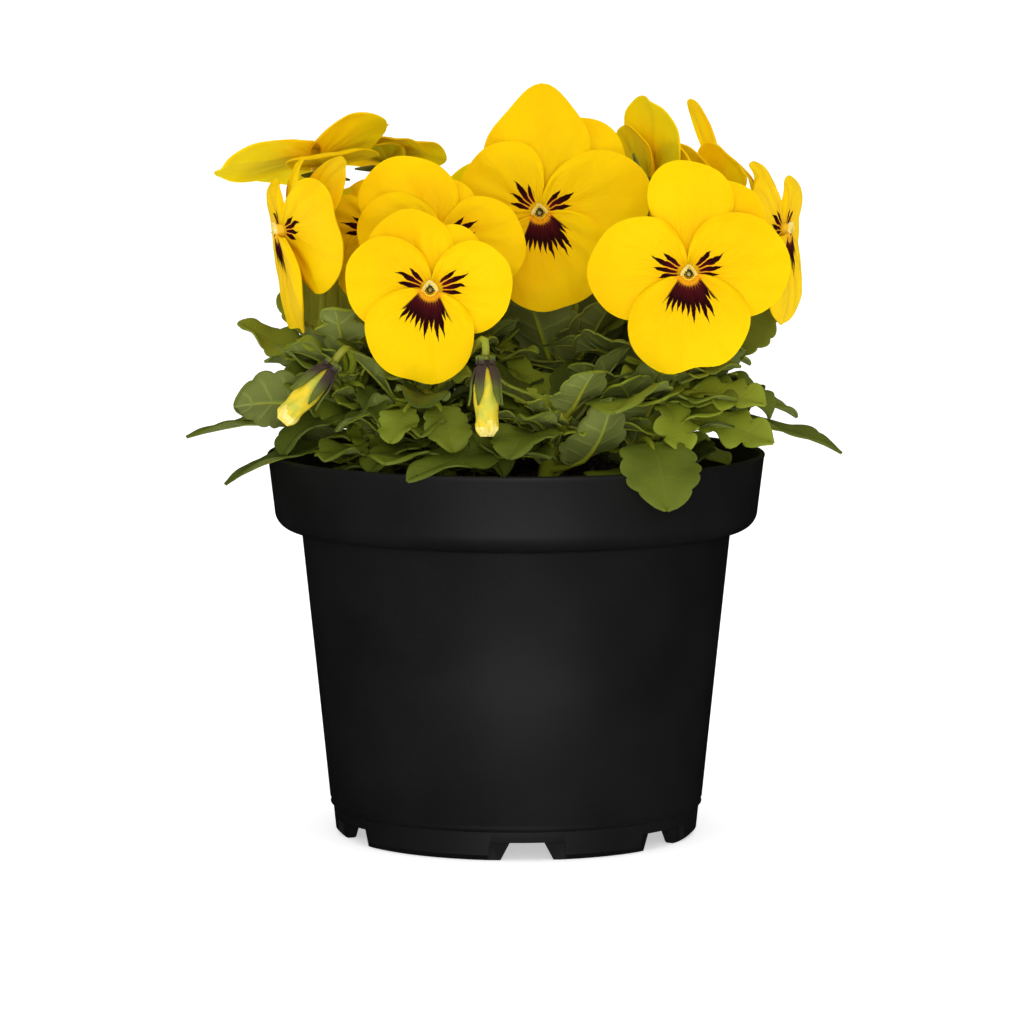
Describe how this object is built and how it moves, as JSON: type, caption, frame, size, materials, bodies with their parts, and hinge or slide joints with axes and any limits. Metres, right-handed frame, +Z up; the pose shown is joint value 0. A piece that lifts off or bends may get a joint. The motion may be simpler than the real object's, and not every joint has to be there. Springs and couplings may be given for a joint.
{
  "type": "potted pansy planter",
  "caption": "Round black plastic nursery pot with a wide collar and notched foot, filled with soil and a bushy pansy with yellow blooms above toothed leaves.",
  "frame": {"origin": "on the pot's axis, on the level surface that the pot's foot stands on", "axes": "+Z up the pot's axis to the blooms, -Y to the front that the picture shows, +X to the right of it"},
  "size_m": [0.1374, 0.1096, 0.1566],
  "materials": {
    "pot_plastic": "satin black moulded plastic",
    "soil": "loose dark peat-based potting soil, matte",
    "foliage": "living green leaves and stems, soft sheen, paler veins and undersides",
    "petal": "soft velvety yellow petals with a dark maroon blotch and whisker lines at the throat"
  },
  "bodies": {
    "root": {"pot": "pot_plastic", "soil": "soil", "leafy_stem_front": "foliage", "leafy_stem_front_left": "foliage", "leafy_stem_left_front": "foliage", "leafy_stem_left": "foliage", "leafy_stem_left_back": "foliage", "leafy_stem_back": "foliage", "leafy_stem_right_back": "foliage", "leafy_stem_right": "foliage", "leafy_stem_front_right": "foliage", "leafy_stem_centre_left": "foliage", "leafy_stem_centre": "foliage", "bloom_front_left": "petal", "bloom_left_front": "petal", "bloom_left": "petal", "bloom_left_top": "petal", "bloom_left_back": "petal", "bloom_back_left_top": "petal", "bloom_back": "petal", "bloom_right_back": "petal", "bloom_right_top": "petal", "bloom_right": "petal", "bloom_front_right": "petal", "bloom_centre_left": "petal", "bloom_centre": "petal", "bloom_back_right_top": "petal", "bud_front": "petal", "bud_left": "petal", "bud_back": "petal"}
  },
  "joints": []
}
